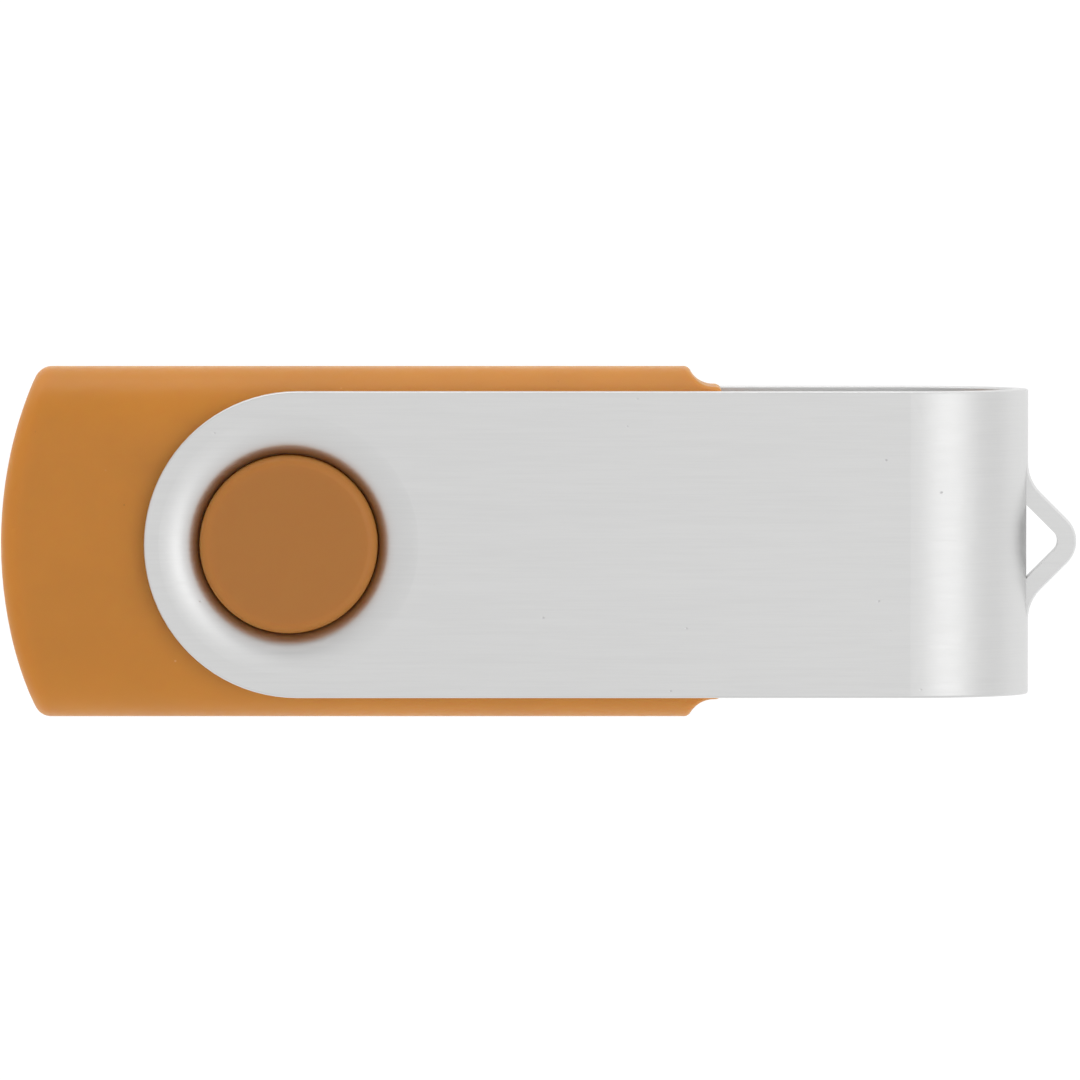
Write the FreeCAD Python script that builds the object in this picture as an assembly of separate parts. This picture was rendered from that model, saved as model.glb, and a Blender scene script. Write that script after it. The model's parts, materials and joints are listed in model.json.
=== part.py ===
import FreeCAD, Part
import math
import os

# USB flash drive with a swivel cover.
# Everything is drawn about the pivot: X runs from the pivot to the plug, Y is the
# width, Z = 0 is the middle of the thickness.  node() then moves each piece into the
# part's frame, whose origin is under the middle of the whole object.

V = FreeCAD.Vector

# ---------------------------------------------------------------- driving dimensions
# case
BODY_WIDTH = 18.92
BODY_THICKNESS = 7.9
TAIL_X = -15.55
TAIL_RADIUS = 23.0
SHOULDER_ARC_X = 22.95
SHOULDER_ARC_Y = 9.85
SHOULDER_ARC_RADIUS = 1.40
NECK_END_X = 23.4
LONG_EDGE_REACH = 4.8
LONG_EDGE_DEPTH = 3.0
TAIL_EDGE_RADIUS = 0.9
NECK_EDGE_RADIUS = 0.4
SEAM_CHAMFER = 0.12
SHELL_WALL = 1.2
LIP_THICKNESS = 0.55
LIP_HEIGHT = 0.5
LIP_GAP = 0.05
RIB_X = 19.2
RIB_THICKNESS = 1.0

# swivel cover
CLIP_WIDTH = 16.52
CLIP_THICKNESS = 10.0
CLIP_SHEET = 0.85
CLIP_END_CENTRE_X = 0.47
CLIP_BEND_X = 33.5
CLIP_BEND_DEPTH = 6.5
CLIP_EDGE_RADIUS = 0.12

# pivot
HOLE_RADIUS = 4.85
RIM_REACH = 2.15
RIM_DEPTH = 1.40
BOSS_RADIUS = 4.80
BOSS_RECESS = 0.15
BOSS_EDGE_RADIUS = 0.55
GROOVE_RADIUS = 6.60
GROOVE_DEPTH = 0.65
BOSS_CORE_RADIUS = 3.4
BOSS_CAP = 1.3
BOSS_RING_RADIUS = 7.3
BOSS_RING_DEPTH = 0.6

# lanyard loop, a strip of the bend pushed outwards
LOOP_WIDTH = 2.0
LOOP_FLANK_DEG = 45.0
LOOP_ROOT_Y = 3.13
LOOP_ROOT_RADIUS = 2.7
LOOP_TIP_RADIUS = 1.25
LOOP_START_Y = 4.4

# USB-A plug
PLUG_WIDTH = 12.0
PLUG_HEIGHT = 4.5
PLUG_SHEET = 0.3
PLUG_CORNER_RADIUS = 0.65
PLUG_TIP_X = 36.0
PLUG_REAR_X = 18.2
PLUG_SEAM = 0.08
PLUG_GAP = 0.05
WINDOW_FROM_TIP = 5.16
WINDOW_LENGTH = 2.1
WINDOW_WIDTH = 2.5
WINDOW_Y = 2.85
WINDOW_CORNER = 0.25
TONGUE_TOP_Z = -0.15
TONGUE_SETBACK = 0.6
TONGUE_CHAMFER = 0.35
CAVITY_DEPTH = 8.65
CONTACT_WIDTH = 1.0
CONTACT_SHEET = 0.2
CONTACT_CHAMFER = 0.1
CONTACT_TAIL_X = 15.2
LEG_X = 15.9
LEG_LENGTH = 0.9
LEG_BOTTOM_Z = -1.8
LEG_ARM_Z = 0.1
LEG_TOP_Z = 0.9
LEG_SLOT_GAP = 0.1

# each contact's place across the plug and how far it stops short of the tongue's nose
CONTACT_PLACES = {
    "contact_power": (3.5, 0.8),
    "contact_data_minus": (1.0, 1.8),
    "contact_data_plus": (-1.0, 1.8),
    "contact_ground": (-3.5, 0.8),
}

# circuit board
BOARD_START_X = -12.3
BOARD_END_X = 17.6
BOARD_WIDTH = 15.0
BOARD_THICKNESS = 0.8
BOARD_TOP_Z = -0.3
BOARD_CORNER = 1.6

# locating pins of the case and the holes and notches they pass through
PIN_RADIUS = 0.8
PIN_HOLE_GAP = 0.15
PIN_TIP_Z = 1.9
PIN_CHAMFER = 0.25
SOCKET_WALL = 0.7
SOCKET_GAP = 0.05
SOCKET_END_GAP = 0.2
PIN_PLACES = [(-10.6, 5.4), (-10.6, -5.4), (13.7, 7.3), (13.7, -7.3)]
LEDGE_PLACES = [-5.0, 4.0]
LEDGE_LENGTH = 1.6
LEDGE_REACH = 1.2

# leaded chips
MEMORY_X = 1.6
MEMORY_LENGTH = 18.4
MEMORY_WIDTH = 12.0
MEMORY_HEIGHT = 1.0
MEMORY_LEADS = 24
MEMORY_LEAD_REACH = 0.8
CONTROLLER_X = 11.2
CONTROLLER_SIZE = 7.0
CONTROLLER_HEIGHT = 1.2
CONTROLLER_LEADS = 12
CONTROLLER_LEAD_REACH = 0.95
REGULATOR_X = -1.6
REGULATOR_Y = 0.6
REGULATOR_LENGTH = 2.9
REGULATOR_WIDTH = 1.3
REGULATOR_HEIGHT = 1.0
REGULATOR_LEAD_PITCH = 1.9
REGULATOR_LEAD_WIDTH = 0.4
REGULATOR_LEAD_REACH = 0.6
CHIP_STANDOFF = 0.08
CHIP_BEVEL = 0.12
LEAD_SHEET = 0.12
LEAD_WIDTH = 0.2
LEAD_PITCH = 0.5

# crystal
CRYSTAL_X = 2.6
CRYSTAL_LENGTH = 3.2
CRYSTAL_WIDTH = 2.5
CRYSTAL_BASE_HEIGHT = 0.45
CRYSTAL_HEIGHT = 0.75
CRYSTAL_LID_INSET = 0.2
CRYSTAL_LID_CORNER = 0.3

# small two-ended parts on the board's underside: X, Y and turn about Z
CAPACITOR_PLACES = [(-4.5, 4.2, 90), (-2.6, 4.2, 90), (5.2, 3.2, 0), (5.2, -3.2, 0), (14.6, 5.5, 0)]
RESISTOR_PLACES = [(-4.5, -3.4, 90), (-2.6, -3.4, 90), (-0.7, -3.4, 90), (11.2, -6.0, 0)]
CAPACITOR_SIZE = (1.6, 0.8, 0.8)
RESISTOR_SIZE = (1.6, 0.8, 0.45)
END_LENGTH = 0.3
END_PROUD = 0.02
END_EDGE_RADIUS = 0.06

# status light
LIGHT_SETBACK = 1.2
LIGHT_LENGTH = 0.8
LIGHT_WIDTH = 1.6
LIGHT_BASE_HEIGHT = 0.4
LENS_WIDTH = 1.0
LENS_HEIGHT = 0.85
LENS_EDGE_RADIUS = 0.25

# solder
PAD_LENGTH = 0.5
PAD_MARGIN = 0.15
PAD_HEIGHT = 0.25
PAD_FILLET = 0.2
CONE_BASE_RADIUS = 0.85
CONE_TIP_RADIUS = 0.6
CONE_HEIGHT = 0.45

# how far fused pieces reach into each other, and how far a cutter passes what it cuts
OVERLAP = 0.3
BEYOND = 5.0
TOLERANCE = 1e-6

LOOP_FLANK = math.radians(LOOP_FLANK_DEG)
LOOP_REACH = LOOP_ROOT_Y * math.tan(LOOP_FLANK) - LOOP_TIP_RADIUS * (1 / math.cos(LOOP_FLANK) - 1)
OVERALL_LENGTH = CLIP_BEND_X + CLIP_BEND_DEPTH + LOOP_REACH - TAIL_X
PIVOT_X = -OVERALL_LENGTH / 2 - TAIL_X
PIVOT_Z = CLIP_THICKNESS / 2
BOARD_BOTTOM_Z = BOARD_TOP_Z - BOARD_THICKNESS
SIDES = (1, -1)
ORIGIN = V(0, 0, 0)
UP = V(0, 0, 1)


# ---------------------------------------------------------------- drawing helpers
def block(x0, x1, y0, y1, z0, z1):
    """A box between two corners."""
    return Part.makeBox(x1 - x0, y1 - y0, z1 - z0, V(x0, y0, z0))


def side_block(side, x0, x1, near, far, z0, z1):
    """A box on one side of the middle, between two distances from it."""
    low, high = sorted((side * near, side * far))
    return block(x0, x1, low, high, z0, z1)


def rod(x, y, radius, z0, z1):
    """A round bar along Z."""
    return Part.makeCylinder(radius, z1 - z0, V(x, y, z0))


def line(start, end):
    return Part.LineSegment(start, end).toShape()


def arc(start, middle, end):
    return Part.Arc(start, middle, end).toShape()


def oval_arc(centre, long_axis, short_axis, start, end):
    """Part of an oval, between two angles that run from its long axis to its short one."""
    oval = Part.Ellipse(centre + long_axis, centre + short_axis, centre)
    return Part.ArcOfEllipse(oval, start, end).toShape()


def on_circle(centre_x, centre_y, radius, angle):
    return V(centre_x + radius * math.cos(angle), centre_y + radius * math.sin(angle), 0)


def flat_face(edges):
    """The flat face inside a closed outline."""
    return Part.Face(Part.Wire(Part.__sortEdges__(edges)))


def prism(edges, z0, z1):
    """A solid with the outline of the edges between two heights."""
    solid = flat_face(edges).extrude(V(0, 0, z1 - z0))
    solid.translate(V(0, 0, z0))
    return solid


def edges_at(solid, **place):
    """The edges of a solid whose ends all lie at the given X, Y or Z."""
    def fits(edge):
        gaps = [getattr(v, axis) - value for v in edge.Vertexes for axis, value in place.items()]
        return all(abs(gap) < TOLERANCE for gap in gaps)
    return [edge for edge in solid.Edges if fits(edge)]


def edges_along(solid, axis):
    """The edges of a solid that run straight along one axis: 0 is X, 1 is Y, 2 is Z."""
    chosen = []
    for edge in solid.Edges:
        step = edge.Vertexes[-1].Point - edge.Vertexes[0].Point
        straight = isinstance(edge.Curve, Part.Line)
        if straight and abs(abs(step[axis]) - edge.Length) < TOLERANCE:
            chosen.append(edge)
    return chosen


def rounded_box(x0, x1, y0, y1, z0, z1, radius, axis):
    """A box whose edges along one axis are rounded."""
    box = block(x0, x1, y0, y1, z0, z1)
    return box.makeFillet(radius, edges_along(box, axis))


def turned_over(shape):
    """The mirror image of a shape through Z = 0."""
    return shape.mirror(ORIGIN, UP)


def single(shape):
    """The one solid of a shape, with split faces joined."""
    clean = shape.removeSplitter()
    if len(clean.Solids) != 1:
        raise ValueError("expected one solid, found %d" % len(clean.Solids))
    return clean.Solids[0]


# ---------------------------------------------------------------- case
def pillow_bar(half, high, inset):
    """A bar along X with the section of the case, whose long edges are quarter ovals."""
    x = TAIL_X - BEYOND
    reach = LONG_EDGE_REACH - inset
    depth = LONG_EDGE_DEPTH - inset
    flat_y = half - reach
    flat_z = high - depth
    edges = []
    for side in SIDES:
        edges.append(line(V(x, side * half, flat_z), V(x, side * half, -flat_z)))
        edges.append(line(V(x, flat_y, side * high), V(x, -flat_y, side * high)))
        for level in SIDES:
            corner = V(x, side * flat_y, level * flat_z)
            along_y = V(0, side * reach, 0)
            along_z = V(0, 0, level * depth)
            edges.append(oval_arc(corner, along_y, along_z, 0, math.pi / 2))
    return flat_face(edges).extrude(V(NECK_END_X + BEYOND - x, 0, 0))


def body_blank(inset):
    """The case's outer form, or its cavity when inset is the wall thickness."""
    half = BODY_WIDTH / 2 - inset
    high = BODY_THICKNESS / 2 - inset
    tail_centre = TAIL_X + TAIL_RADIUS
    tail = TAIL_RADIUS - inset
    reach = SHOULDER_ARC_RADIUS + inset
    front = NECK_END_X - inset
    tail_turn = math.asin(half / tail) / 2
    corner_x = tail_centre - math.sqrt(tail**2 - half**2)
    shoulder_x = SHOULDER_ARC_X - math.sqrt(reach**2 - (SHOULDER_ARC_Y - half)**2)
    neck_y = SHOULDER_ARC_Y - reach
    start = math.atan2(half - SHOULDER_ARC_Y, shoulder_x - SHOULDER_ARC_X) % (2 * math.pi)
    hollow = on_circle(SHOULDER_ARC_X, SHOULDER_ARC_Y, reach, (start + 1.5 * math.pi) / 2)
    edges = [line(V(front, neck_y, 0), V(front, -neck_y, 0))]
    for side in SIDES:
        tail_middle = on_circle(tail_centre, 0, tail, math.pi - side * tail_turn)
        corner = V(corner_x, side * half, 0)
        shoulder = V(shoulder_x, side * half, 0)
        neck = V(SHOULDER_ARC_X, side * neck_y, 0)
        edges.append(arc(V(TAIL_X + inset, 0, 0), tail_middle, corner))
        edges.append(line(corner, shoulder))
        edges.append(arc(shoulder, V(hollow.x, side * hollow.y, 0), neck))
        edges.append(line(neck, V(front, side * neck_y, 0)))
    return single(prism(edges, -high, high).common(pillow_bar(half, high, inset)))


def soften_ends(blank):
    """Rounds the edges of the tail and of the shoulders and neck."""
    tail_centre = TAIL_X + TAIL_RADIUS
    corner_x = tail_centre - math.sqrt(TAIL_RADIUS**2 - (BODY_WIDTH / 2)**2)
    tail_edges = [e for e in blank.Edges if all(v.X < corner_x + TOLERANCE for v in e.Vertexes)]
    tail_edges = [e for e in tail_edges if any(abs(v.Y) > TOLERANCE for v in e.Vertexes)]
    soft = blank.makeFillet(TAIL_EDGE_RADIUS, tail_edges)
    front_x = SHOULDER_ARC_X - SHOULDER_ARC_RADIUS
    front_edges = [e for e in soft.Edges if all(v.X > front_x for v in e.Vertexes)]
    return soft.makeFillet(NECK_EDGE_RADIUS, front_edges)


def slab(z0, z1):
    """A level slice that reaches past the case all round."""
    return block(TAIL_X - BEYOND, NECK_END_X + BEYOND, -BODY_WIDTH, BODY_WIDTH, z0, z1)


def pivot_boss():
    """The front boss, the groove that clears the cover's rim, and the ring behind it."""
    face_z = BODY_THICKNESS / 2
    top_z = PIVOT_Z - BOSS_RECESS
    groove_z = face_z - GROOVE_DEPTH
    ceiling_z = face_z - SHELL_WALL
    ring_z = ceiling_z - BOSS_RING_DEPTH
    boss = rod(0, 0, BOSS_RADIUS, ceiling_z, top_z)
    boss = boss.makeFillet(BOSS_EDGE_RADIUS, edges_at(boss, Z=top_z))
    groove = rod(0, 0, GROOVE_RADIUS, groove_z, face_z + BEYOND)
    groove = groove.cut(rod(0, 0, BOSS_RADIUS, groove_z - BEYOND, face_z + BEYOND))
    ring = rod(0, 0, BOSS_RING_RADIUS, ring_z, ceiling_z + OVERLAP)
    core = rod(0, 0, BOSS_CORE_RADIUS, ring_z - BEYOND, top_z - BOSS_CAP)
    return boss, groove, ring, core


def half_case(lower):
    """One hollow half of the case, drawn as the front half and turned over if lower."""
    half = soften_ends(body_blank(0)).common(slab(0, BODY_THICKNESS))
    half = half.makeChamfer(SEAM_CHAMFER, edges_at(half, Z=0))
    boss, groove, ring, core = pivot_boss()
    shell = half.cut(body_blank(SHELL_WALL)).fuse([ring, boss]).cut([groove, core])
    return turned_over(shell) if lower else shell


def plug_opening():
    """The space that the plug takes through the case's end wall and its rib."""
    half_y = PLUG_WIDTH / 2 + PLUG_GAP
    half_z = PLUG_HEIGHT / 2 + PLUG_GAP
    return rounded_box(
        PLUG_REAR_X, PLUG_TIP_X, -half_y, half_y, -half_z, half_z, PLUG_CORNER_RADIUS, 0
    )


def clamp_rib(z0, z1):
    """A cross wall that holds the plug just behind the end wall."""
    half = BODY_WIDTH / 2 - SHELL_WALL / 2
    return block(RIB_X, RIB_X + RIB_THICKNESS, -half, half, z0, z1)


def board_ledges(outer_inset, z0, z1):
    """Short ledges beside both side walls that hold the board between the halves."""
    outer_y = BODY_WIDTH / 2 - outer_inset
    inner_y = BODY_WIDTH / 2 - SHELL_WALL - LEDGE_REACH
    ledges = []
    for x in LEDGE_PLACES:
        for side in SIDES:
            half = LEDGE_LENGTH / 2
            ledges.append(side_block(side, x - half, x + half, inner_y, outer_y, z0, z1))
    return ledges


def wall_band(outer_inset, inner_inset, height):
    """A band of the wall above the parting line, between two insets."""
    band = body_blank(outer_inset).cut(body_blank(inner_inset))
    return band.common(slab(0, height))


def make_top_shell():
    shell = half_case(False)
    root_z = BODY_THICKNESS / 2 - SHELL_WALL + OVERLAP
    added = board_ledges(SHELL_WALL + 2 * LIP_GAP, BOARD_TOP_Z + LIP_GAP, root_z)
    added.append(clamp_rib(0, root_z))
    bores = []
    for x, y in PIN_PLACES:
        added.append(rod(x, y, PIN_RADIUS + SOCKET_WALL, LIP_HEIGHT + 2 * LIP_GAP, root_z))
        bores.append(rod(x, y, PIN_RADIUS + SOCKET_GAP, 0, PIN_TIP_Z + SOCKET_END_GAP))
    inside = body_blank(SHELL_WALL / 2)
    shell = shell.fuse([piece.common(inside) for piece in added])
    rebate = wall_band(
        SHELL_WALL - LIP_THICKNESS - LIP_GAP, SHELL_WALL + LIP_GAP, LIP_HEIGHT + LIP_GAP
    )
    return single(shell.cut(bores + [rebate, plug_opening()]))


def make_bottom_shell():
    shell = half_case(True)
    root_z = SHELL_WALL - BODY_THICKNESS / 2 - OVERLAP
    added = board_ledges(SHELL_WALL / 2, root_z, BOARD_BOTTOM_Z)
    added.append(clamp_rib(root_z, 0))
    for x, y in PIN_PLACES:
        pin = rod(x, y, PIN_RADIUS, root_z, PIN_TIP_Z)
        added.append(pin.makeChamfer(PIN_CHAMFER, edges_at(pin, Z=PIN_TIP_Z)))
    inside = body_blank(SHELL_WALL / 2)
    lip = wall_band(SHELL_WALL - LIP_THICKNESS, SHELL_WALL, LIP_HEIGHT)
    shell = shell.fuse([piece.common(inside) for piece in added] + [lip])
    return single(shell.cut(plug_opening()))


# ---------------------------------------------------------------- swivel cover
def bend_arc(inset, y, half_height):
    """The bend's oval front at one Y, between two heights."""
    high = CLIP_THICKNESS / 2 - inset
    deep = CLIP_BEND_DEPTH - inset
    reach = math.asin(half_height / high)
    return oval_arc(V(CLIP_BEND_X, y, 0), V(deep, 0, 0), V(0, 0, high), -reach, reach)


def bend_bar(inset, back_x, half_width):
    """A bar along Y with level faces and the bend's oval front."""
    high = CLIP_THICKNESS / 2 - inset
    y = -half_width
    edges = [
        bend_arc(inset, y, high),
        line(V(CLIP_BEND_X, y, high), V(back_x, y, high)),
        line(V(back_x, y, high), V(back_x, y, -high)),
        line(V(back_x, y, -high), V(CLIP_BEND_X, y, -high)),
    ]
    return flat_face(edges).extrude(V(0, 2 * half_width, 0))


def arm_outline():
    """A prism with the round end that both arms share."""
    half = CLIP_WIDTH / 2
    far_x = CLIP_BEND_X + CLIP_BEND_DEPTH + BEYOND
    centre = CLIP_END_CENTRE_X
    edges = [
        arc(V(centre, half, 0), V(centre - half, 0, 0), V(centre, -half, 0)),
        line(V(centre, -half, 0), V(far_x, -half, 0)),
        line(V(far_x, -half, 0), V(far_x, half, 0)),
        line(V(far_x, half, 0), V(centre, half, 0)),
    ]
    return prism(edges, -CLIP_THICKNESS, CLIP_THICKNESS)


def bent_strip():
    """The sheet bent into a U, with its outline cut and its edges softened."""
    back_x = CLIP_END_CENTRE_X - CLIP_WIDTH
    half = CLIP_WIDTH / 2
    inner = bend_bar(CLIP_SHEET, back_x - BEYOND, half + BEYOND)
    strip = single(bend_bar(0, back_x, half).cut(inner).common(arm_outline()))
    across = edges_along(strip, 1) + edges_along(strip, 2)
    rims = [e for e in strip.Edges if not any(e.isSame(other) for other in across)]
    return strip.makeFillet(CLIP_EDGE_RADIUS, rims)


def rolled_rim():
    """The rim drawn inwards around the front arm's hole, as a ring turned about Z."""
    top = CLIP_THICKNESS / 2
    low = top - RIM_DEPTH
    outer_r = HOLE_RADIUS + RIM_REACH
    centre = V(outer_r, 0, low)
    quarter = math.pi / 2
    under_reach = RIM_REACH - CLIP_SHEET
    under_depth = RIM_DEPTH - CLIP_SHEET
    edges = [
        oval_arc(centre, V(-RIM_REACH, 0, 0), V(0, 0, RIM_DEPTH), 0, quarter),
        oval_arc(centre, V(-under_reach, 0, 0), V(0, 0, under_depth), 0, quarter),
        line(V(HOLE_RADIUS, 0, low), V(HOLE_RADIUS + CLIP_SHEET, 0, low)),
        line(V(outer_r, 0, top - CLIP_SHEET), V(outer_r, 0, top)),
    ]
    return flat_face(edges).revolve(ORIGIN, UP, 360)


def corner_points(before, corner, after, radius):
    """Start, middle and end of the arc that rounds one corner of a path."""
    into = (before - corner).normalize()
    away = (after - corner).normalize()
    half_angle = into.getAngle(away) / 2
    reach = radius / math.tan(half_angle)
    bisector = (into + away).normalize()
    middle = corner + bisector * (radius / math.sin(half_angle) - radius)
    return corner + into * reach, middle, corner + away * reach


def loop_path():
    """The lanyard loop's middle line, from one side of the bend to the other."""
    wall_x = CLIP_BEND_X + CLIP_BEND_DEPTH - CLIP_SHEET / 2
    tip_x = wall_x + LOOP_ROOT_Y * math.tan(LOOP_FLANK)
    corners = [
        V(wall_x, LOOP_START_Y, 0),
        V(wall_x, LOOP_ROOT_Y, 0),
        V(tip_x, 0, 0),
        V(wall_x, -LOOP_ROOT_Y, 0),
        V(wall_x, -LOOP_START_Y, 0),
    ]
    radii = [LOOP_ROOT_RADIUS, LOOP_TIP_RADIUS, LOOP_ROOT_RADIUS]
    edges = []
    last = corners[0]
    for before, corner, after, radius in zip(corners, corners[1:], corners[2:], radii):
        start, middle, end = corner_points(before, corner, after, radius)
        edges.append(line(last, start))
        edges.append(arc(start, middle, end))
        last = end
    edges.append(line(last, corners[-1]))
    return Part.Wire(edges)


def loop_section():
    """The loop's section: a short stretch of the bend's own curved sheet."""
    half = LOOP_WIDTH / 2
    outer = bend_arc(0, LOOP_START_Y, half)
    inner = bend_arc(CLIP_SHEET, LOOP_START_Y, half)
    low_end = line(outer.firstVertex().Point, inner.firstVertex().Point)
    high_end = line(outer.lastVertex().Point, inner.lastVertex().Point)
    return Part.Wire(Part.__sortEdges__([outer, high_end, inner, low_end]))


def make_swivel_clip():
    cut_radius = HOLE_RADIUS + RIM_REACH
    clip = bent_strip().cut(rod(0, 0, cut_radius, -CLIP_THICKNESS, CLIP_THICKNESS))
    rim = rolled_rim()
    clip = clip.fuse([rim, turned_over(rim)])
    half = LOOP_WIDTH / 2
    far_x = CLIP_BEND_X + CLIP_BEND_DEPTH
    slot = block(
        far_x - 2 * CLIP_SHEET, far_x + BEYOND, -LOOP_START_Y, LOOP_START_Y, -half, half
    )
    strip = loop_path().makePipeShell([loop_section()], True, True)
    return single(clip.cut(slot).fuse(strip))


# ---------------------------------------------------------------- USB-A plug
def make_plug_shell():
    half_y = PLUG_WIDTH / 2
    half_z = PLUG_HEIGHT / 2
    sheet = PLUG_SHEET
    outer = rounded_box(
        PLUG_REAR_X, PLUG_TIP_X, -half_y, half_y, -half_z, half_z, PLUG_CORNER_RADIUS, 0
    )
    outer = outer.makeChamfer(sheet / 2, edges_at(outer, X=PLUG_TIP_X))
    inner = rounded_box(
        PLUG_REAR_X - BEYOND, PLUG_TIP_X + BEYOND, sheet - half_y, half_y - sheet,
        sheet - half_z, half_z - sheet, PLUG_CORNER_RADIUS - sheet, 0,
    )
    cuts = [
        inner,
        block(PLUG_REAR_X, PLUG_TIP_X, -PLUG_SEAM / 2, PLUG_SEAM / 2, -PLUG_HEIGHT, sheet - half_z),
    ]
    window_end = PLUG_TIP_X - WINDOW_FROM_TIP
    for side in SIDES:
        y = side * WINDOW_Y
        cuts.append(
            rounded_box(
                window_end - WINDOW_LENGTH, window_end, y - WINDOW_WIDTH / 2, y + WINDOW_WIDTH / 2,
                -PLUG_HEIGHT, PLUG_HEIGHT, WINDOW_CORNER, 2,
            )
        )
    legs = []
    for side in SIDES:
        near = half_y - sheet
        leg_end = LEG_X + LEG_LENGTH
        legs.append(side_block(side, LEG_X, PLUG_REAR_X + OVERLAP, near, half_y, LEG_ARM_Z, LEG_TOP_Z))
        legs.append(side_block(side, LEG_X, leg_end, near, half_y, LEG_BOTTOM_Z, LEG_TOP_Z))
    return single(outer.cut(cuts).fuse(legs))


def make_plug_insulator():
    half_y = PLUG_WIDTH / 2 - PLUG_SHEET
    half_z = PLUG_HEIGHT / 2 - PLUG_SHEET
    cavity_x = PLUG_TIP_X - CAVITY_DEPTH
    nose_x = PLUG_TIP_X - TONGUE_SETBACK
    body = rounded_box(
        PLUG_REAR_X, nose_x, -half_y, half_y, -half_z, half_z, PLUG_CORNER_RADIUS - PLUG_SHEET, 0
    )
    body = body.cut(
        block(cavity_x, PLUG_TIP_X, -PLUG_WIDTH, PLUG_WIDTH, TONGUE_TOP_Z, PLUG_HEIGHT)
    )
    body = body.makeChamfer(TONGUE_CHAMFER, edges_at(body, X=nose_x, Z=TONGUE_TOP_Z))
    grooves = []
    for y, setback in CONTACT_PLACES.values():
        half = CONTACT_WIDTH / 2
        top_z = BOARD_TOP_Z + CONTACT_SHEET
        grooves.append(
            block(PLUG_REAR_X, nose_x - setback, y - half, y + half, BOARD_TOP_Z, top_z)
        )
    return single(body.cut(grooves))


def make_contact(y, setback):
    """One flat gold contact, from the tongue's nose back on to the board."""
    tip_x = PLUG_TIP_X - TONGUE_SETBACK - setback
    half = CONTACT_WIDTH / 2
    top_z = BOARD_TOP_Z + CONTACT_SHEET
    strip = block(CONTACT_TAIL_X, tip_x, y - half, y + half, BOARD_TOP_Z, top_z)
    return strip.makeChamfer(CONTACT_CHAMFER, edges_at(strip, X=tip_x, Z=top_z))


# ---------------------------------------------------------------- circuit board
def make_circuit_board():
    half = BOARD_WIDTH / 2
    board = block(BOARD_START_X, BOARD_END_X, -half, half, BOARD_BOTTOM_Z, BOARD_TOP_Z)
    tail = [e for e in edges_along(board, 2) if e.Vertexes[0].X < 0]
    board = board.makeChamfer(BOARD_CORNER, tail)
    low = BOARD_BOTTOM_Z - BEYOND
    high = BOARD_TOP_Z + BEYOND
    cuts = [rod(x, y, PIN_RADIUS + PIN_HOLE_GAP, low, high) for x, y in PIN_PLACES]
    near = PLUG_WIDTH / 2 - PLUG_SHEET - LEG_SLOT_GAP
    far = PLUG_WIDTH / 2 + LEG_SLOT_GAP
    start = LEG_X - LEG_SLOT_GAP
    end = LEG_X + LEG_LENGTH + LEG_SLOT_GAP
    for side in SIDES:
        cuts.append(side_block(side, start, end, near, far, low, high))
    return single(board.cut(cuts))


def under_board(shape):
    """Turns a shape drawn on Z = 0 upside down and hangs it under the board."""
    hung = turned_over(shape)
    hung.translate(V(0, 0, BOARD_BOTTOM_Z))
    return hung


def placed(solids, x, y, z, turn):
    """Copies of solids turned about Z and then moved."""
    result = []
    for solid in solids:
        copy = solid.copy()
        copy.rotate(ORIGIN, UP, turn)
        copy.translate(V(x, y, z))
        result.append(copy)
    return result


def chip_package(x, y, length, width, height):
    """A moulded chip package over Z = 0, with bevelled top and bottom edges."""
    package = block(
        x - length / 2, x + length / 2, y - width / 2, y + width / 2,
        CHIP_STANDOFF, CHIP_STANDOFF + height,
    )
    return package.makeChamfer(CHIP_BEVEL, edges_along(package, 0) + edges_along(package, 1))


def gull_wing(width, reach, rise):
    """One bent lead pointing along +X from the package's side at X = 0, foot at Z = 0."""
    sheet = LEAD_SHEET
    y = -width / 2
    knee = reach * 0.35
    heel = reach * 0.5
    points = [
        V(0, y, rise), V(knee, y, rise), V(heel, y, sheet), V(reach, y, sheet),
        V(reach, y, 0), V(heel - sheet / 2, y, 0), V(knee - sheet / 2, y, rise - sheet),
        V(0, y, rise - sheet), V(0, y, rise),
    ]
    return Part.Face(Part.makePolygon(points)).extrude(V(0, width, 0))


def lead_row(count, pitch, width, reach, chip_height):
    """A straight row of leads along Y, centred on the origin."""
    rise = CHIP_STANDOFF + chip_height / 2 + LEAD_SHEET / 2
    row = []
    for index in range(count):
        lead = gull_wing(width, reach, rise)
        lead.translate(V(0, (index - (count - 1) / 2) * pitch, 0))
        row.append(lead)
    return row


def make_memory_chip():
    package = chip_package(MEMORY_X, 0, MEMORY_LENGTH, MEMORY_WIDTH, MEMORY_HEIGHT)
    package.translate(V(0, 0, BOARD_TOP_Z))
    return package


def make_memory_chip_leads():
    row = lead_row(MEMORY_LEADS, LEAD_PITCH, LEAD_WIDTH, MEMORY_LEAD_REACH, MEMORY_HEIGHT)
    side_x = MEMORY_LENGTH / 2
    front = placed(row, MEMORY_X + side_x, 0, BOARD_TOP_Z, 0)
    back = placed(row, MEMORY_X - side_x, 0, BOARD_TOP_Z, 180)
    return Part.makeCompound(front + back)


def make_controller_chip():
    size = CONTROLLER_SIZE
    return under_board(chip_package(CONTROLLER_X, 0, size, size, CONTROLLER_HEIGHT))


def make_controller_chip_leads():
    row = lead_row(
        CONTROLLER_LEADS, LEAD_PITCH, LEAD_WIDTH, CONTROLLER_LEAD_REACH, CONTROLLER_HEIGHT
    )
    leads = []
    for turn in (0, 90, 180, 270):
        side = on_circle(CONTROLLER_X, 0, CONTROLLER_SIZE / 2, math.radians(turn))
        leads += placed(row, side.x, side.y, 0, turn)
    return under_board(Part.makeCompound(leads))


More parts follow.
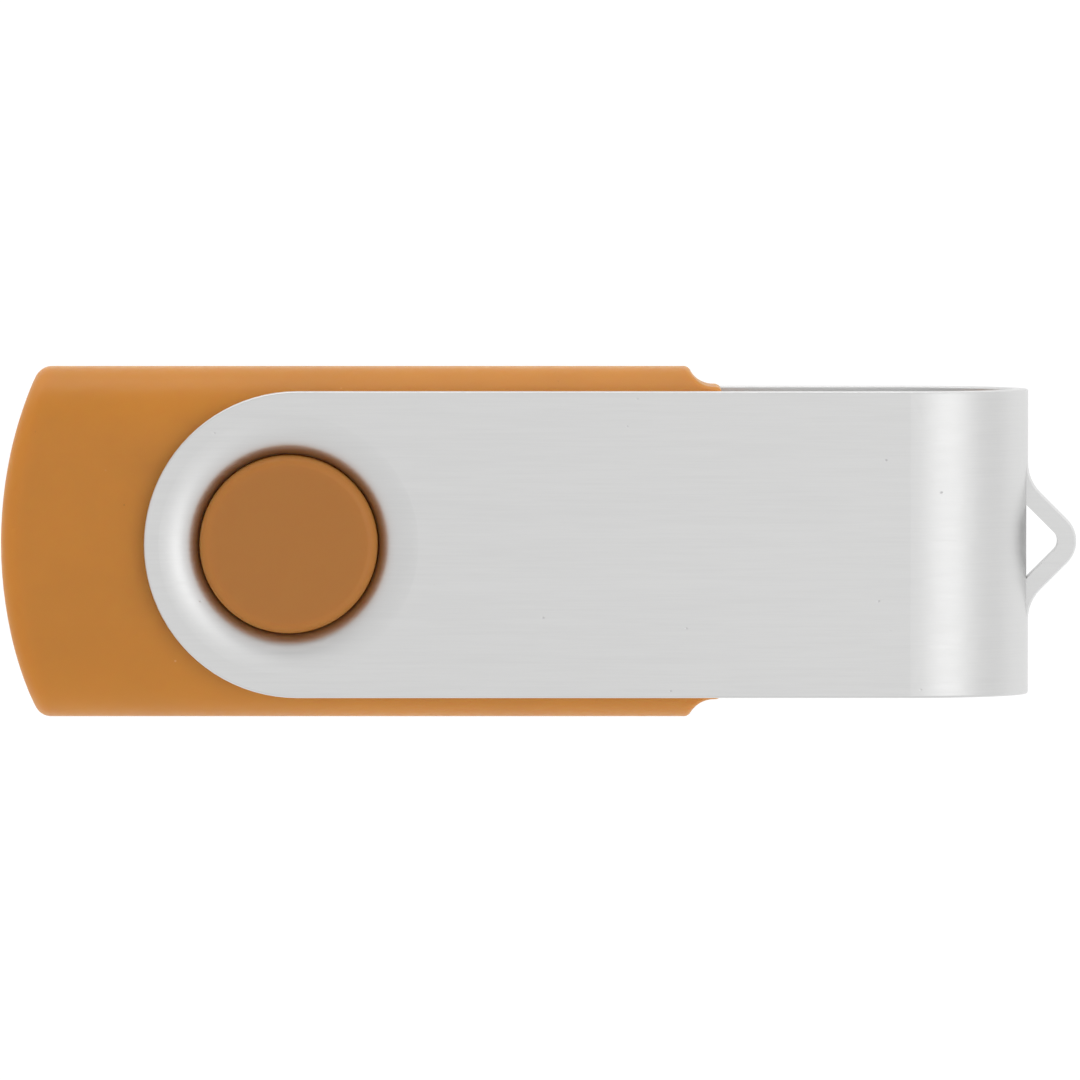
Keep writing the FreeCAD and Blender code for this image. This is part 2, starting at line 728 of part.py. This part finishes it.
def make_regulator():
    return under_board(
        chip_package(REGULATOR_X, REGULATOR_Y, REGULATOR_LENGTH, REGULATOR_WIDTH, REGULATOR_HEIGHT)
    )


def make_regulator_leads():
    leads = []
    for count, side in ((2, 1), (1, -1)):
        row = lead_row(
            count, REGULATOR_LEAD_PITCH, REGULATOR_LEAD_WIDTH, REGULATOR_LEAD_REACH, REGULATOR_HEIGHT
        )
        leads += placed(row, REGULATOR_X, REGULATOR_Y + side * REGULATOR_WIDTH / 2, 0, side * 90)
    return under_board(Part.makeCompound(leads))


def make_crystal_base():
    half_x = CRYSTAL_LENGTH / 2
    half_y = CRYSTAL_WIDTH / 2
    base = block(CRYSTAL_X - half_x, CRYSTAL_X + half_x, -half_y, half_y, 0, CRYSTAL_BASE_HEIGHT)
    return under_board(base)


def make_crystal_lid():
    half_x = CRYSTAL_LENGTH / 2 - CRYSTAL_LID_INSET
    half_y = CRYSTAL_WIDTH / 2 - CRYSTAL_LID_INSET
    lid = rounded_box(
        CRYSTAL_X - half_x, CRYSTAL_X + half_x, -half_y, half_y,
        CRYSTAL_BASE_HEIGHT, CRYSTAL_HEIGHT, CRYSTAL_LID_CORNER, 2,
    )
    return under_board(lid)


def chip_middle(size):
    """The ceramic middle of a small two-ended part, a little slimmer than its ends."""
    length, width, height = size
    half_x = length / 2 - END_LENGTH
    half_y = width / 2 - END_PROUD
    return block(-half_x, half_x, -half_y, half_y, END_PROUD, height - END_PROUD)


def chip_end(size, side):
    """One metal end of a small two-ended part."""
    length, width, height = size
    near, far = sorted((side * (length / 2 - END_LENGTH), side * length / 2))
    end = block(near, far, -width / 2, width / 2, 0, height)
    return end.makeFillet(END_EDGE_RADIUS, edges_at(end, X=side * length / 2))


def scattered(pieces, places):
    """Copies of a small component's pieces at each place under the board."""
    result = []
    for x, y, turn in places:
        result += placed(pieces, x, y, 0, turn)
    return under_board(Part.makeCompound(result))


def make_capacitor_bodies():
    return scattered([chip_middle(CAPACITOR_SIZE)], CAPACITOR_PLACES)


def make_capacitor_ends():
    return scattered([chip_end(CAPACITOR_SIZE, side) for side in SIDES], CAPACITOR_PLACES)


def make_resistor_bodies():
    return scattered([chip_middle(RESISTOR_SIZE)], RESISTOR_PLACES)


def make_resistor_ends():
    return scattered([chip_end(RESISTOR_SIZE, side) for side in SIDES], RESISTOR_PLACES)


def make_status_light():
    """A small light on the board's tail edge, with a domed lens."""
    x0 = BOARD_START_X + LIGHT_SETBACK - LIGHT_LENGTH / 2
    x1 = x0 + LIGHT_LENGTH
    base_top = BOARD_TOP_Z + LIGHT_BASE_HEIGHT
    lens_base = BOARD_TOP_Z + LIGHT_BASE_HEIGHT / 2
    lens_top = BOARD_TOP_Z + LENS_HEIGHT
    base = block(x0, x1, -LIGHT_WIDTH / 2, LIGHT_WIDTH / 2, BOARD_TOP_Z, base_top)
    lens = block(x0, x1, -LENS_WIDTH / 2, LENS_WIDTH / 2, lens_base, lens_top)
    lens = lens.makeFillet(LENS_EDGE_RADIUS, edges_at(lens, Z=lens_top))
    return single(base.fuse(lens))


def contact_solder(y):
    """A mound of solder behind one contact's tail."""
    half = CONTACT_WIDTH / 2 + PAD_MARGIN
    back_x = CONTACT_TAIL_X - PAD_LENGTH
    top_z = BOARD_TOP_Z + PAD_HEIGHT
    mound = block(back_x, CONTACT_TAIL_X, y - half, y + half, BOARD_TOP_Z, top_z)
    return mound.makeFillet(PAD_FILLET, edges_at(mound, X=back_x, Z=top_z))


def leg_solder(side):
    """A cone of solder under the board round one of the plug's legs."""
    x = LEG_X + LEG_LENGTH / 2
    y = side * (PLUG_WIDTH - PLUG_SHEET) / 2
    cone = Part.makeCone(
        CONE_BASE_RADIUS, CONE_TIP_RADIUS, CONE_HEIGHT, V(x, y, BOARD_BOTTOM_Z), V(0, 0, -1)
    )
    near = PLUG_WIDTH / 2 - PLUG_SHEET
    leg_end = LEG_X + LEG_LENGTH
    leg = side_block(side, LEG_X, leg_end, near, PLUG_WIDTH / 2, LEG_BOTTOM_Z - BEYOND, LEG_TOP_Z)
    return cone.cut(leg)


def make_solder_joints():
    joints = [contact_solder(y) for y, _ in CONTACT_PLACES.values()]
    for side in SIDES:
        joints += leg_solder(side).Solids
    return Part.makeCompound(joints)


# ---------------------------------------------------------------- output
def node(name, shape):
    """Moves a piece into the part's frame and writes its file."""
    moved = shape.copy()
    moved.translate(V(PIVOT_X, 0, PIVOT_Z))
    moved.exportStep("parts/" + name + ".step")
    print(name, len(moved.Solids), moved.isValid(), round(moved.Volume, 3))


def main():
    os.makedirs("parts", exist_ok=True)
    print("pivot at", PIVOT_X, PIVOT_Z, "overall length", OVERALL_LENGTH)
    node("top_shell", make_top_shell())
    node("bottom_shell", make_bottom_shell())
    node("swivel_clip", make_swivel_clip())
    node("plug_shell", make_plug_shell())
    node("plug_insulator", make_plug_insulator())
    for name, (y, setback) in CONTACT_PLACES.items():
        node(name, make_contact(y, setback))
    node("circuit_board", make_circuit_board())
    node("memory_chip", make_memory_chip())
    node("memory_chip_leads", make_memory_chip_leads())
    node("controller_chip", make_controller_chip())
    node("controller_chip_leads", make_controller_chip_leads())
    node("regulator", make_regulator())
    node("regulator_leads", make_regulator_leads())
    node("crystal_base", make_crystal_base())
    node("crystal_lid", make_crystal_lid())
    node("capacitor_bodies", make_capacitor_bodies())
    node("capacitor_ends", make_capacitor_ends())
    node("resistor_bodies", make_resistor_bodies())
    node("resistor_ends", make_resistor_ends())
    node("status_light", make_status_light())
    node("solder_joints", make_solder_joints())


main()
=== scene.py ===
import bpy
import json
import math
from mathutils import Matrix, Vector


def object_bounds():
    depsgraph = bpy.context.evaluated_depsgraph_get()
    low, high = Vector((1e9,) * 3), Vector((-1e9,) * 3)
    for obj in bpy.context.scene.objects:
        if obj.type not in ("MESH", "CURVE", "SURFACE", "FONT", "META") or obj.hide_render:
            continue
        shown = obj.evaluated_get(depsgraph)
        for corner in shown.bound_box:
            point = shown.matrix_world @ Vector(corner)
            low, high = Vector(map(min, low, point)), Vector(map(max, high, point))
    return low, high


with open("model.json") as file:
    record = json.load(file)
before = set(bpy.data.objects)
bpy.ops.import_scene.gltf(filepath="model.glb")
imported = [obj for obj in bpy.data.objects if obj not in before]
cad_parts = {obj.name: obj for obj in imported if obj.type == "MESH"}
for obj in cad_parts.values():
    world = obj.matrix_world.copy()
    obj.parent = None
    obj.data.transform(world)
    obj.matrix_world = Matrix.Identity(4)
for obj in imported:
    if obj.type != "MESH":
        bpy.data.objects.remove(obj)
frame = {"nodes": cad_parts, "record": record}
cad_low, cad_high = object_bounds()
centre = (cad_low + cad_high) / 2
length = cad_high.x - cad_low.x
MM = 0.001

# the case's broad faces stop below this distance from the middle, and its bosses pass it
BOSS_LEVEL = 4.2

# the surround's brightness falls from one value to the other as it faces further to +Y
FAR_SIDE_FADE = {"From Min": 0.40, "From Max": 0.85, "To Min": 0.885, "To Max": 0.52}

FLOOR_REACH = 1.6
FLOOR_GAP = 0.02 * MM

CAMERA_DISTANCE = 0.75
CAMERA_LEAN = math.radians(2.5)
SENSOR_WIDTH = 36.0
VIEW_WIDTH = length * 1.0065
AIM = centre + Vector((0.02 * MM, 0.05 * MM, 0))


# ---------------------------------------------------------------- material kit
class Look:
    """A Principled material, with short calls that add nodes measured in millimetres."""

    def __init__(self, name, color, metallic=0.0, roughness=0.5):
        self.material = bpy.data.materials.new(name)
        self.material.use_nodes = True
        self.tree = self.material.node_tree
        self.shader = self.tree.nodes["Principled BSDF"]
        self.set("Base Color", (*color, 1.0))
        self.set("Metallic", metallic)
        self.set("Roughness", roughness)

    def set(self, socket, value):
        self.shader.inputs[socket].default_value = value

    def node(self, kind, **settings):
        made = self.tree.nodes.new(kind)
        for key, value in settings.items():
            setattr(made, key, value)
        return made

    def link(self, source, target):
        self.tree.links.new(source, target)

    def feed(self, source, socket):
        self.link(source, self.shader.inputs[socket])

    def place(self, stretch=(1, 1, 1)):
        """Coordinates fixed to the piece, in millimetres, squeezed by stretch."""
        coords = self.node("ShaderNodeTexCoord")
        mapping = self.node("ShaderNodeMapping")
        mapping.inputs["Scale"].default_value = [1000 * s for s in stretch]
        self.link(coords.outputs["Object"], mapping.inputs["Vector"])
        return mapping.outputs["Vector"]

    def noise(self, scale, stretch=(1, 1, 1), detail=2.0, roughness=0.5):
        texture = self.node("ShaderNodeTexNoise")
        texture.inputs["Scale"].default_value = scale
        texture.inputs["Detail"].default_value = detail
        texture.inputs["Roughness"].default_value = roughness
        self.link(self.place(stretch), texture.inputs["Vector"])
        return texture.outputs["Fac"]

    def spots(self, scale, size, stretch=(1, 1, 1)):
        """1 inside small round spots spread about 1 / scale apart, 0 elsewhere."""
        cells = self.node("ShaderNodeTexVoronoi")
        cells.inputs["Scale"].default_value = scale
        self.link(self.place(stretch), cells.inputs["Vector"])
        return self.remap(cells.outputs["Distance"], size, size * 0.5, 0.0, 1.0)

    def beyond_level(self, level):
        """1 where the surface is more than level millimetres above or below the middle."""
        split = self.node("ShaderNodeSeparateXYZ")
        self.link(self.place(), split.inputs["Vector"])
        height = self.math("SUBTRACT", split.outputs["Z"], centre.z / MM)
        return self.remap(self.math("ABSOLUTE", height, 0.0), level - 0.1, level + 0.1, 0.0, 1.0)

    def remap(self, source, from_low, from_high, to_low, to_high):
        ramp = self.node("ShaderNodeMapRange")
        values = (from_low, from_high, to_low, to_high)
        for socket, value in zip(("From Min", "From Max", "To Min", "To Max"), values):
            ramp.inputs[socket].default_value = value
        self.link(source, ramp.inputs["Value"])
        return ramp.outputs["Result"]

    def math(self, operation, first, second):
        made = self.node("ShaderNodeMath", operation=operation)
        for index, value in enumerate((first, second)):
            if isinstance(value, (int, float)):
                made.inputs[index].default_value = value
            else:
                self.link(value, made.inputs[index])
        return made.outputs["Value"]

    def blend(self, factor, first, second):
        """A colour between two, where each is a colour or a socket."""
        mix = self.node("ShaderNodeMix", data_type="RGBA")
        self.link(factor, mix.inputs["Factor"])
        for socket, value in ((6, first), (7, second)):
            if isinstance(value, tuple):
                mix.inputs[socket].default_value = (*value, 1.0)
            else:
                self.link(value, mix.inputs[socket])
        return mix.outputs[2]

    def bump(self, height, depth_mm, strength=1.0, under=None):
        made = self.node("ShaderNodeBump")
        made.inputs["Distance"].default_value = depth_mm * MM
        made.inputs["Strength"].default_value = strength
        self.link(height, made.inputs["Height"])
        if under is not None:
            self.link(under, made.inputs["Normal"])
        return made.outputs["Normal"]


def tint(color, factor):
    return tuple(min(1.0, channel * factor) for channel in color)


# ---------------------------------------------------------------- materials
def case_plastic():
    """Satin moulded plastic with a very fine spark-eroded skin and a little dust."""
    orange = (0.572, 0.224, 0.0155)
    darker_boss_orange = (0.447, 0.174, 0.021)
    pale_dust = (0.74, 0.46, 0.20)
    look = Look("case_plastic", orange, roughness=0.42)
    clouds = look.remap(look.noise(0.16, detail=3.0), 0.3, 0.7, 0.0, 1.0)
    color = look.blend(clouds, tint(orange, 0.96), tint(orange, 1.04))
    dusty_places = look.remap(look.noise(0.7), 0.45, 0.62, 0.0, 0.6)
    dust = look.math("MULTIPLY", look.spots(0.55, 0.045), dusty_places)
    color = look.blend(dust, color, pale_dust)
    gritty_places = look.remap(look.noise(0.5), 0.5, 0.68, 0.0, 0.6)
    grit = look.math("MULTIPLY", look.spots(0.43, 0.030, stretch=(1.3, 1.0, 1.0)), gritty_places)
    color = look.blend(grit, color, tint(orange, 0.45))
    # the boss tops, past BOSS_LEVEL from the middle, are painted a darker orange than the rest of
    # the case
    look.feed(look.blend(look.beyond_level(BOSS_LEVEL), color, darker_boss_orange), "Base Color")
    look.feed(look.remap(look.noise(2.2, detail=4.0), 0.3, 0.7, 0.38, 0.46), "Roughness")
    skin = look.bump(look.noise(14.0, detail=3.0, roughness=0.7), 0.0035)
    look.feed(look.bump(look.noise(1.2, detail=2.0), 0.004, under=skin), "Normal")
    look.set("Specular IOR Level", 0.45)
    look.set("Subsurface Weight", 0.8)
    look.set("Subsurface Radius", (1.0, 0.7, 0.5))
    look.set("Subsurface Scale", 1.6 * MM)
    return look.material


def cover_metal():
    """Aluminium brushed along the strip, with faint streaks and a few small nicks."""
    silver = (0.684, 0.684, 0.681)
    nick_grey = (0.46, 0.46, 0.46)
    look = Look("cover_metal", silver, metallic=1.0, roughness=0.42)
    along_strip = (0.025, 1.0, 0.025)
    fine = look.noise(10.0, stretch=along_strip, detail=4.0, roughness=0.7)
    broad = look.noise(1.6, stretch=along_strip, detail=2.0)
    streaks = look.math("ADD", look.math("MULTIPLY", fine, 0.8), look.math("MULTIPLY", broad, 0.2))
    worn_places = look.remap(look.noise(0.45), 0.50, 0.60, 0.0, 1.0)
    nicks = look.math("MULTIPLY", look.spots(0.60, 0.060, stretch=(1.0, 1.5, 1.0)), worn_places)
    contrast = look.remap(streaks, 0.38, 0.62, 0.0, 1.0)
    color = look.blend(contrast, tint(silver, 0.98), tint(silver, 1.02))
    look.feed(look.blend(look.math("MULTIPLY", nicks, 0.50), color, nick_grey), "Base Color")
    look.feed(look.remap(streaks, 0.35, 0.65, 0.38, 0.47), "Roughness")
    lines = look.bump(streaks, 0.0023)
    dents = look.math("SUBTRACT", 1.0, nicks)
    look.feed(look.bump(dents, 0.02, under=lines), "Normal")
    return look.material


def plug_metal():
    """Bright plated sheet steel with rolling marks along the plug and light wear."""
    steel = (0.74, 0.74, 0.75)
    look = Look("plug_metal", steel, metallic=1.0, roughness=0.22)
    rolled = look.noise(9.0, stretch=(0.06, 1.0, 1.0), detail=3.0)
    wear = look.noise(0.45, stretch=(0.4, 1.0, 1.0), detail=5.0, roughness=0.6)
    dulled = look.remap(wear, 0.4, 0.7, 0.0, 1.0)
    look.feed(look.blend(dulled, tint(steel, 1.02), tint(steel, 0.95)), "Base Color")
    look.feed(look.remap(wear, 0.35, 0.7, 0.20, 0.28), "Roughness")
    look.feed(look.bump(rolled, 0.0025), "Normal")
    return look.material


def moulded(name, color, roughness, grain=12.0, depth=0.003):
    """Plain moulded plastic or resin with a fine even grain."""
    look = Look(name, color, roughness=roughness)
    mottle = look.noise(1.5, detail=4.0)
    look.feed(look.blend(mottle, tint(color, 0.8), tint(color, 1.25)), "Base Color")
    look.feed(look.remap(mottle, 0.3, 0.7, roughness - 0.06, roughness + 0.06), "Roughness")
    look.feed(look.bump(look.noise(grain, detail=3.0), depth), "Normal")
    return look.material


def plated(name, color, roughness, wear_color):
    """Thin plating over sheet, with faint handling marks."""
    look = Look(name, color, metallic=1.0, roughness=roughness)
    marks = look.noise(2.5, stretch=(0.3, 1.0, 1.0), detail=5.0, roughness=0.6)
    look.feed(look.blend(look.remap(marks, 0.5, 0.75, 0.0, 0.7), color, wear_color), "Base Color")
    look.feed(look.remap(marks, 0.3, 0.7, roughness - 0.06, roughness + 0.08), "Roughness")
    look.feed(look.bump(look.noise(10.0, stretch=(0.2, 1.0, 1.0)), 0.0015), "Normal")
    return look.material


def board_laminate():
    """Green solder mask over glass cloth, with the copper tracks showing as paler lines."""
    green = (0.012, 0.115, 0.040)
    track_green = (0.05, 0.26, 0.10)
    look = Look("board_laminate", green, roughness=0.28)
    weave = look.node("ShaderNodeTexWave", wave_type="BANDS", bands_direction="DIAGONAL")
    weave.inputs["Scale"].default_value = 1.1
    weave.inputs["Distortion"].default_value = 0.0
    look.link(look.place(), weave.inputs["Vector"])
    tracks = look.node("ShaderNodeTexBrick")
    tracks.inputs["Scale"].default_value = 0.35
    tracks.inputs["Mortar Size"].default_value = 0.05
    look.link(look.place(), tracks.inputs["Vector"])
    paler = look.math("MULTIPLY", tracks.outputs["Fac"], 0.75)
    clouds = look.remap(look.noise(0.9), 0.3, 0.7, 0.0, 1.0)
    color = look.blend(clouds, tint(green, 0.85), tint(green, 1.15))
    look.feed(look.blend(paler, color, track_green), "Base Color")
    cloth = look.bump(weave.outputs["Fac"], 0.002)
    look.feed(look.bump(tracks.outputs["Fac"], 0.02, under=cloth), "Normal")
    look.set("Coat Weight", 0.4)
    look.set("Coat Roughness", 0.12)
    return look.material


def fired(name, color, roughness):
    """Fired ceramic with fine specks."""
    look = Look(name, color, roughness=roughness)
    specks = look.noise(9.0, detail=4.0, roughness=0.7)
    look.feed(look.blend(specks, tint(color, 0.7), tint(color, 1.3)), "Base Color")
    look.feed(look.bump(specks, 0.003), "Normal")
    return look.material


def light_resin():
    """Clear domed resin over a white base."""
    look = Look("light_resin", (0.80, 0.82, 0.78), roughness=0.12)
    cloud = look.noise(3.0, detail=3.0)
    look.feed(look.blend(cloud, (0.74, 0.77, 0.70), (0.86, 0.87, 0.84)), "Base Color")
    look.feed(look.bump(look.noise(5.0), 0.002), "Normal")
    look.set("Coat Weight", 0.6)
    look.set("Subsurface Weight", 0.3)
    look.set("Subsurface Scale", 0.3 * MM)
    return look.material


def solder():
    """Satin solder with soft flow ripples."""
    grey = (0.62, 0.62, 0.63)
    look = Look("solder", grey, metallic=1.0, roughness=0.30)
    flow = look.noise(3.5, detail=4.0)
    look.feed(look.blend(flow, tint(grey, 0.85), tint(grey, 1.12)), "Base Color")
    look.feed(look.remap(flow, 0.3, 0.7, 0.22, 0.40), "Roughness")
    look.feed(look.bump(flow, 0.02), "Normal")
    return look.material


def paint_nodes():
    """Gives every CAD node the finish of its material slot."""
    looks = {
        "case_plastic": case_plastic(),
        "cover_metal": cover_metal(),
        "plug_metal": plug_metal(),
        "insulator_plastic": moulded("insulator_plastic", (0.028, 0.028, 0.032), 0.40),
        "contact_gold": plated("contact_gold", (0.86, 0.62, 0.26), 0.20, (0.72, 0.50, 0.22)),
        "board_laminate": board_laminate(),
        "chip_resin": moulded("chip_resin", (0.020, 0.020, 0.022), 0.55, grain=18.0, depth=0.006),
        "lead_tin": plated("lead_tin", (0.74, 0.74, 0.73), 0.28, (0.60, 0.60, 0.59)),
        "crystal_ceramic": fired("crystal_ceramic", (0.30, 0.21, 0.13), 0.55),
        "crystal_metal": plated("crystal_metal", (0.78, 0.76, 0.70), 0.25, (0.66, 0.64, 0.60)),
        "capacitor_ceramic": fired("capacitor_ceramic", (0.42, 0.27, 0.15), 0.50),
        "resistor_ceramic": fired("resistor_ceramic", (0.03, 0.03, 0.035), 0.35),
        "light_resin": light_resin(),
        "solder": solder(),
    }
    for row in frame["record"]["subparts"]:
        piece = frame["nodes"][row["node"]]
        for slot in piece.material_slots:
            slot.material = looks[row["material_slot"]]


# ---------------------------------------------------------------- floor, light, camera
def add_floor():
    """A plain pale floor a hair below the cover's back arm, so their faces don't coincide."""
    mesh = bpy.data.meshes.new("floor")
    corner_signs = ((-1, -1), (1, -1), (1, 1), (-1, 1))
    corners = [(x * FLOOR_REACH, y * FLOOR_REACH, 0) for x, y in corner_signs]
    mesh.from_pydata(corners, [], [(0, 1, 2, 3)])
    floor = bpy.data.objects.new("floor", mesh)
    floor.location.z = cad_low.z - FLOOR_GAP
    bpy.context.scene.collection.objects.link(floor)
    look = Look("floor_paper", (0.12, 0.12, 0.12), roughness=0.9)
    look.set("Specular IOR Level", 0.1)
    look.set("Emission Color", (1.0, 1.0, 1.0, 1.0))
    look.set("Emission Strength", 0.95)
    mesh.materials.append(look.material)


def add_softbox(name, tilt, turn, distance, width, height, radiance):
    """A soft light panel aimed at the object, tilted from the vertical and turned from +X."""
    data = bpy.data.lights.new(name, "AREA")
    data.shape = "RECTANGLE"
    data.size = width
    data.size_y = height
    data.energy = radiance * math.pi * width * height
    box = bpy.data.objects.new(name, data)
    tilt, turn = math.radians(tilt), math.radians(turn)
    away = Vector((
        math.sin(tilt) * math.cos(turn), math.sin(tilt) * math.sin(turn), math.cos(tilt)
    ))
    box.location = centre + away * distance
    box.rotation_mode = "QUATERNION"
    box.rotation_quaternion = away.to_track_quat("Z", "Y")
    box.visible_camera = False
    bpy.context.scene.collection.objects.link(box)


def add_surround():
    """A white surround that is dimmer on the far side."""
    world = bpy.data.worlds.new("studio")
    world.use_nodes = True
    tree = world.node_tree
    direction = tree.nodes.new("ShaderNodeTexCoord").outputs["Generated"]
    split = tree.nodes.new("ShaderNodeSeparateXYZ")
    tree.links.new(direction, split.inputs["Vector"])
    fade = tree.nodes.new("ShaderNodeMapRange")
    for socket, value in FAR_SIDE_FADE.items():
        fade.inputs[socket].default_value = value
    tree.links.new(split.outputs["Y"], fade.inputs["Value"])
    background = tree.nodes["Background"]
    background.inputs["Color"].default_value = (1.0, 1.0, 1.0, 1.0)
    tree.links.new(fade.outputs["Result"], background.inputs["Strength"])
    bpy.context.scene.world = world


def add_panels():
    """One panel above and to the right, and a low wide one behind."""
    add_softbox(
        "key_softbox", tilt=31, turn=10, distance=0.6, width=0.45, height=0.31, radiance=0.84
    )
    add_softbox(
        "edge_softbox", tilt=82, turn=90, distance=1.2, width=1.8, height=0.30, radiance=2.7
    )


def add_camera():
    """Looks straight down on the front face, leaning a little towards the far long edge."""
    data = bpy.data.cameras.new("camera")
    data.sensor_width = SENSOR_WIDTH
    data.lens = SENSOR_WIDTH * CAMERA_DISTANCE / VIEW_WIDTH
    camera = bpy.data.objects.new("camera", data)
    back = Vector((0, math.sin(CAMERA_LEAN), math.cos(CAMERA_LEAN)))
    camera.location = AIM + back * CAMERA_DISTANCE
    camera.rotation_euler = (-CAMERA_LEAN, 0, 0)
    bpy.context.scene.collection.objects.link(camera)
    bpy.context.scene.camera = camera


paint_nodes()
add_floor()
add_surround()
add_panels()
add_camera()
bpy.context.scene.view_settings.view_transform = "Standard"
